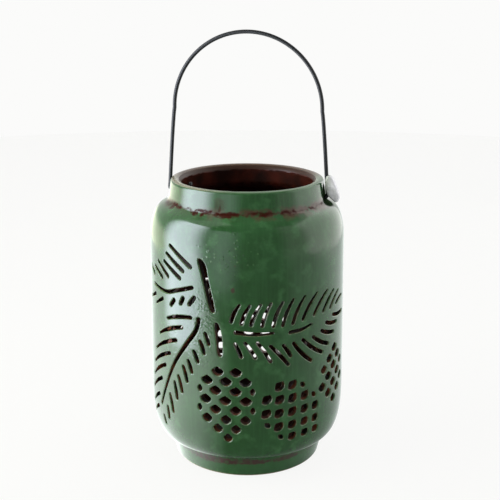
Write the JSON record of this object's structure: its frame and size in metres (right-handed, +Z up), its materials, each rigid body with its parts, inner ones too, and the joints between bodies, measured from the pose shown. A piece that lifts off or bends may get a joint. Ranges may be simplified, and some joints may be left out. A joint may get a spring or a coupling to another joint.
{
  "type": "candle lantern",
  "caption": "Round glazed stoneware candle lantern, its wall pierced with pine boughs and cones, with an open mouth, a foot ring and a swinging wire carrying handle.",
  "frame": {"origin": "centre of the foot ring's underside, where the lantern stands", "axes": "+Z up along the pot's axis; X along the handle's swing axis, with the guarded leg at +X; -Y towards the front, the side that the picture shows from 13.6 degrees to the right"},
  "size_m": [0.133, 0.133, 0.2913],
  "materials": {
    "glazed_stoneware": "glossy green glaze over red-brown, breaking brown at edges",
    "black_wire": "satin black",
    "grey_sleeve": "soft, slightly translucent pale grey"
  },
  "bodies": {
    "pot": {"pierced_pot": "glazed_stoneware"},
    "handle": {"wire_handle": "black_wire", "handle_guard": "grey_sleeve"}
  },
  "joints": [
    {"name": "handle_swing", "type": "hinge", "parent": "pot", "child": "handle", "pos_m": [0, 0, 0.1832], "axis": [1, 0, 0], "range_deg": [-90, 90]}
  ]
}
